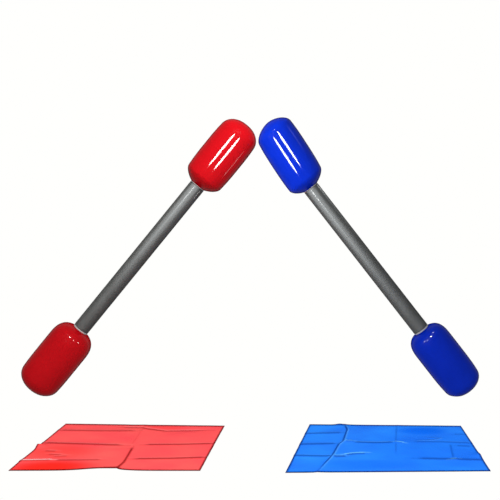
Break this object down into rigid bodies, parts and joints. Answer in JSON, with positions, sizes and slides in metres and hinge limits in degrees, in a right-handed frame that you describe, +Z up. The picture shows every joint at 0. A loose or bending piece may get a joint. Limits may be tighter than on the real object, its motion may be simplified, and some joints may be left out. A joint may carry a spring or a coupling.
{
  "type": "focus training stick set",
  "caption": "Double-ended training sticks with air-filled vinyl heads on sleeved tubes, leaning together on the floor behind thin floor mats",
  "frame": {"origin": "on the floor, at the middle of the footprint of the whole set as it stands", "axes": "+X from the red side to the blue side, +Y from the mats in front to the sticks behind, +Z up"},
  "size_m": [1.212, 0.8168, 0.738],
  "materials": {
    "red_vinyl": "glossy",
    "blue_vinyl": "glossy",
    "grip_sleeve": "satin",
    "core_tube": "matte",
    "neck_ring": "glossy",
    "tube_cap": "matte",
    "valve_seat": "glossy",
    "red_sheet": "semi-gloss",
    "blue_sheet": "semi-gloss"
  },
  "bodies": {
    "red_stick": {"red_core_tube": "core_tube", "red_grip_sleeve": "grip_sleeve", "red_lower_head": "red_vinyl", "red_lower_neck_ring": "neck_ring", "red_lower_tube_cap": "tube_cap", "red_lower_valve_seat": "valve_seat", "red_upper_head": "red_vinyl", "red_upper_neck_ring": "neck_ring", "red_upper_tube_cap": "tube_cap", "red_upper_valve_seat": "valve_seat"},
    "red_lower_plug": {"red_lower_valve_plug": "red_vinyl"},
    "red_upper_plug": {"red_upper_valve_plug": "red_vinyl"},
    "blue_stick": {"blue_core_tube": "core_tube", "blue_grip_sleeve": "grip_sleeve", "blue_lower_head": "blue_vinyl", "blue_lower_neck_ring": "neck_ring", "blue_lower_tube_cap": "tube_cap", "blue_lower_valve_seat": "valve_seat", "blue_upper_head": "blue_vinyl", "blue_upper_neck_ring": "neck_ring", "blue_upper_tube_cap": "tube_cap", "blue_upper_valve_seat": "valve_seat"},
    "blue_lower_plug": {"blue_lower_valve_plug": "blue_vinyl"},
    "blue_upper_plug": {"blue_upper_valve_plug": "blue_vinyl"},
    "red_floor_mat": {"red_mat": "red_sheet"},
    "blue_floor_mat": {"blue_mat": "blue_sheet"}
  },
  "joints": [
    {"name": "blue_stick_lift", "type": "slide", "parent": "red_stick", "child": "blue_stick", "axis": [0, 0, 1], "range_m": [0, 0.3]},
    {"name": "red_mat_lift", "type": "slide", "parent": "red_stick", "child": "red_floor_mat", "axis": [0, 0, 1], "range_m": [0, 0.3]},
    {"name": "blue_mat_lift", "type": "slide", "parent": "red_stick", "child": "blue_floor_mat", "axis": [0, 0, 1], "range_m": [0, 0.3]},
    {"name": "red_lower_plug_pull", "type": "slide", "parent": "red_stick", "child": "red_lower_plug", "axis": [0, 1, 0], "range_m": [0, 0.016]},
    {"name": "red_upper_plug_pull", "type": "slide", "parent": "red_stick", "child": "red_upper_plug", "axis": [0, 1, 0], "range_m": [0, 0.016]},
    {"name": "blue_lower_plug_pull", "type": "slide", "parent": "blue_stick", "child": "blue_lower_plug", "axis": [0, 1, 0], "range_m": [0, 0.016]},
    {"name": "blue_upper_plug_pull", "type": "slide", "parent": "blue_stick", "child": "blue_upper_plug", "axis": [0, 1, 0], "range_m": [0, 0.016]}
  ]
}
